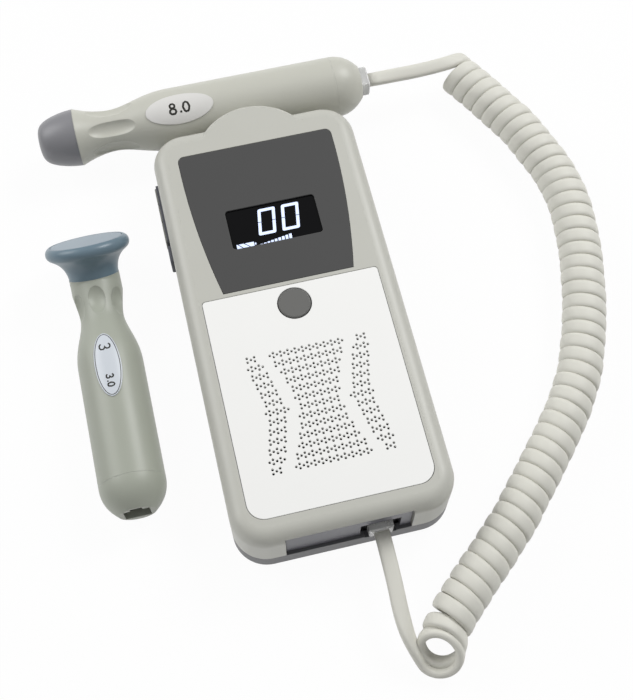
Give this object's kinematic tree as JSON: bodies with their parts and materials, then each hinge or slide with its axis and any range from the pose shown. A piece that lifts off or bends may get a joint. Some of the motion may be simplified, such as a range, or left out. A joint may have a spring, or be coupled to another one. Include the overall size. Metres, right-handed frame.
{
  "type": "fetal doppler monitor",
  "caption": "Hand-held fetal doppler with a display, a speaker plate, side keys, a clipped pencil probe on a curly cord and a spare disc-headed probe lying beside it.",
  "frame": {"origin": "middle of the unit's flat back, which rests on the table", "axes": "+X to the unit's right as its display is read, +Y along the unit towards the clipped probe, +Z out of its face"},
  "size_m": [0.1885, 0.2219, 0.0304],
  "materials": {
    "case_front": "fine satin moulding",
    "case_back": "fine satin moulding",
    "panel_grey": "fine satin moulding",
    "plate_white": "soft gloss",
    "cloth_black": "fine acoustic weave",
    "cover_grey": "satin printed film",
    "window_black": "clear gloss over black",
    "display_black": "display module",
    "board_green": "solder mask",
    "chip_black": "moulded package",
    "screw_steel": "zinc plated",
    "button_grey": "satin moulding",
    "bezel_grey": "soft matt",
    "key_grey": "soft matt",
    "socket_black": "moulded",
    "speaker_steel": "black passivated",
    "cone_paper": "pressed paper",
    "magnet_dark": "ground ferrite",
    "battery_can": "printed can",
    "spring_steel": "nickel plated",
    "contact_gold": "gold flash",
    "pad_rubber": "matt",
    "plug_clear": "clear moulding",
    "cord_grey": "satin sheath",
    "handle_grey": "satin moulding",
    "label_white": "printed film",
    "tip_blue_grey": "satin moulding",
    "head_blue_grey": "satin moulding",
    "face_blue_grey": "fine satin",
    "crystal_pale": "silvered ceramic",
    "backing_dark": "cast backing"
  },
  "bodies": {
    "unit": {"front_case": "case_front", "back_case": "case_back", "end_panel": "panel_grey", "speaker_plate": "plate_white", "speaker_cloth": "cloth_black", "display_cover": "cover_grey", "display_lens": "window_black", "display_module": "display_black", "main_board": "board_green", "board_parts": "chip_black", "board_screws": "screw_steel", "case_screws": "screw_steel", "power_switch": "chip_black", "key_bezel": "bezel_grey", "key_switches": "chip_black", "sound_socket": "socket_black", "sound_surround": "bezel_grey", "speaker_frame": "speaker_steel", "speaker_cone": "cone_paper", "speaker_magnet": "magnet_dark", "batteries": "battery_can", "battery_contacts": "spring_steel", "battery_springs": "spring_steel", "unit_jack": "socket_black", "unit_jack_wires": "contact_gold", "jack_board": "board_green", "probe_cradle": "case_back", "cradle_pad": "pad_rubber", "unit_plug": "plug_clear", "unit_plug_blades": "contact_gold", "cord_unit_lead": "cord_grey", "cord_coil": "cord_grey", "cord_probe_lead": "cord_grey"},
    "power_button": {"power_button": "button_grey"},
    "volume_up_key": {"volume_up_key": "key_grey"},
    "volume_down_key": {"volume_down_key": "key_grey"},
    "mode_key": {"mode_key": "key_grey"},
    "battery_door": {"battery_door": "case_back"},
    "probe": {"probe_plug": "plug_clear", "probe_plug_blades": "contact_gold", "probe_handle": "handle_grey", "probe_tail": "handle_grey", "probe_socket": "socket_black", "probe_socket_wires": "contact_gold", "probe_board": "board_green", "probe_label": "label_white", "probe_tip": "tip_blue_grey", "probe_crystal": "crystal_pale", "probe_backing": "backing_dark"},
    "spare_probe": {"spare_handle": "handle_grey", "spare_tail": "handle_grey", "spare_socket": "socket_black", "spare_socket_wires": "contact_gold", "spare_board": "board_green", "spare_label": "label_white", "spare_head": "head_blue_grey", "spare_face": "face_blue_grey", "spare_crystals": "crystal_pale"}
  },
  "joints": [
    {"name": "power_press", "type": "slide", "parent": "unit", "child": "power_button", "axis": [0, 0, -1], "range_m": [0, 0.0006], "stiffness_N_per_m": 400},
    {"name": "volume_up_press", "type": "slide", "parent": "unit", "child": "volume_up_key", "axis": [1, 0, 0], "range_m": [0, 0.0005], "stiffness_N_per_m": 400},
    {"name": "volume_down_press", "type": "slide", "parent": "unit", "child": "volume_down_key", "axis": [1, 0, 0], "range_m": [0, 0.0005], "stiffness_N_per_m": 400},
    {"name": "mode_press", "type": "slide", "parent": "unit", "child": "mode_key", "axis": [1, 0, 0], "range_m": [0, 0.0005], "stiffness_N_per_m": 400},
    {"name": "door_slide", "type": "slide", "parent": "unit", "child": "battery_door", "axis": [0, -1, 0], "range_m": [0, 0.006]},
    {"name": "probe_unclip", "type": "slide", "parent": "unit", "child": "probe", "axis": [0, 1, 0], "range_m": [0, 0.03]},
    {"name": "spare_lift", "type": "slide", "parent": "unit", "child": "spare_probe", "axis": [0, 0, 1], "range_m": [0, 0.06]}
  ]
}
